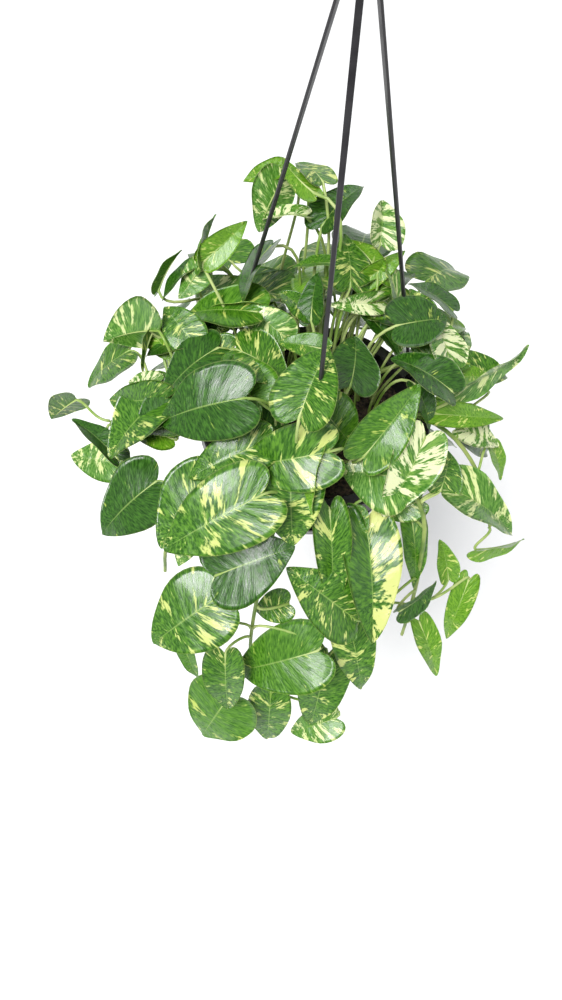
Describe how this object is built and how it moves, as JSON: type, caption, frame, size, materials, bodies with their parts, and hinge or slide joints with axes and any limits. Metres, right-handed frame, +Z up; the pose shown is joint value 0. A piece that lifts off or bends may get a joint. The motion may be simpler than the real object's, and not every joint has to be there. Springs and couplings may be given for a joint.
{
  "type": "potted hanging plant",
  "caption": "Trailing pothos with heart-shaped variegated leaves in a round black hanging pot with a drip saucer and three hanger arms.",
  "frame": {"origin": "the hook's bearing point, on the pot's axis", "axes": "+Z up, the pot's front faces -Y"},
  "size_m": [0.4452, 0.4642, 0.6848],
  "materials": {
    "drip_saucer": "semi-matt black",
    "hanger_arm_1": "semi-matt black",
    "hanger_arm_2": "semi-matt black",
    "hanger_arm_3": "semi-matt black",
    "hanger_hook": "semi-matt black",
    "leaf_crown_1": "pale green",
    "leaf_crown_10": "green with pale marbling",
    "leaf_crown_2": "green with pale marbling",
    "leaf_crown_5": "cream with green streaks",
    "leaf_crown_6": "green with pale marbling",
    "leaf_crown_8": "glossy dark green",
    "leaf_front_1": "green with pale marbling",
    "leaf_front_2": "glossy dark green",
    "leaf_front_3": "green with pale marbling",
    "leaf_front_4": "glossy green",
    "leaf_front_5": "glossy green",
    "leaf_front_6": "cream with green streaks",
    "leaf_front_7": "glossy green",
    "leaf_left_1": "yellow-green",
    "leaf_left_2": "pale green",
    "leaf_left_3": "green with pale marbling",
    "leaf_left_4": "green with pale marbling",
    "leaf_left_6": "glossy dark green",
    "leaf_left_8": "pale green",
    "leaf_left_9": "glossy dark green",
    "leaf_rear_1": "green with pale marbling",
    "leaf_rear_2": "glossy dark green",
    "leaf_rear_3": "green with pale marbling",
    "leaf_rear_4": "glossy green",
    "leaf_rear_5": "glossy dark green",
    "leaf_rear_6": "green with pale marbling",
    "leaf_right_10": "glossy dark green",
    "leaf_right_2": "glossy dark green",
    "leaf_right_4": "pale green",
    "leaf_right_5": "yellow-green",
    "leaf_right_6": "yellow-green",
    "leaf_right_7": "yellow-green",
    "leaf_right_8": "glossy dark green",
    "leaf_right_9": "pale green",
    "pot": "semi-matt black",
    "potting_soil": "damp, crumbly",
    "vine_back": "smooth green",
    "vine_back_left": "smooth green",
    "vine_back_right": "smooth green",
    "vine_front": "smooth green",
    "vine_front_left": "smooth green",
    "vine_front_right": "smooth green",
    "vine_left": "smooth green",
    "vine_loop": "smooth green",
    "vine_right": "smooth green",
    "vine_right_back": "smooth green"
  },
  "bodies": {
    "root": {"drip_saucer": "drip_saucer", "hanger_arm_1": "hanger_arm_1", "hanger_arm_2": "hanger_arm_2", "hanger_arm_3": "hanger_arm_3", "hanger_hook": "hanger_hook", "leaf_crown_1": "leaf_crown_1", "leaf_crown_10": "leaf_crown_10", "leaf_crown_2": "leaf_crown_2", "leaf_crown_5": "leaf_crown_5", "leaf_crown_6": "leaf_crown_6", "leaf_crown_8": "leaf_crown_8", "leaf_front_1": "leaf_front_1", "leaf_front_2": "leaf_front_2", "leaf_front_3": "leaf_front_3", "leaf_front_4": "leaf_front_4", "leaf_front_5": "leaf_front_5", "leaf_front_6": "leaf_front_6", "leaf_front_7": "leaf_front_7", "leaf_left_1": "leaf_left_1", "leaf_left_2": "leaf_left_2", "leaf_left_3": "leaf_left_3", "leaf_left_4": "leaf_left_4", "leaf_left_6": "leaf_left_6", "leaf_left_8": "leaf_left_8", "leaf_left_9": "leaf_left_9", "leaf_rear_1": "leaf_rear_1", "leaf_rear_2": "leaf_rear_2", "leaf_rear_3": "leaf_rear_3", "leaf_rear_4": "leaf_rear_4", "leaf_rear_5": "leaf_rear_5", "leaf_rear_6": "leaf_rear_6", "leaf_right_10": "leaf_right_10", "leaf_right_2": "leaf_right_2", "leaf_right_4": "leaf_right_4", "leaf_right_5": "leaf_right_5", "leaf_right_6": "leaf_right_6", "leaf_right_7": "leaf_right_7", "leaf_right_8": "leaf_right_8", "leaf_right_9": "leaf_right_9", "pot": "pot", "potting_soil": "potting_soil", "vine_back": "vine_back", "vine_back_left": "vine_back_left", "vine_back_right": "vine_back_right", "vine_front": "vine_front", "vine_front_left": "vine_front_left", "vine_front_right": "vine_front_right", "vine_left": "vine_left", "vine_loop": "vine_loop", "vine_right": "vine_right", "vine_right_back": "vine_right_back"}
  },
  "joints": []
}
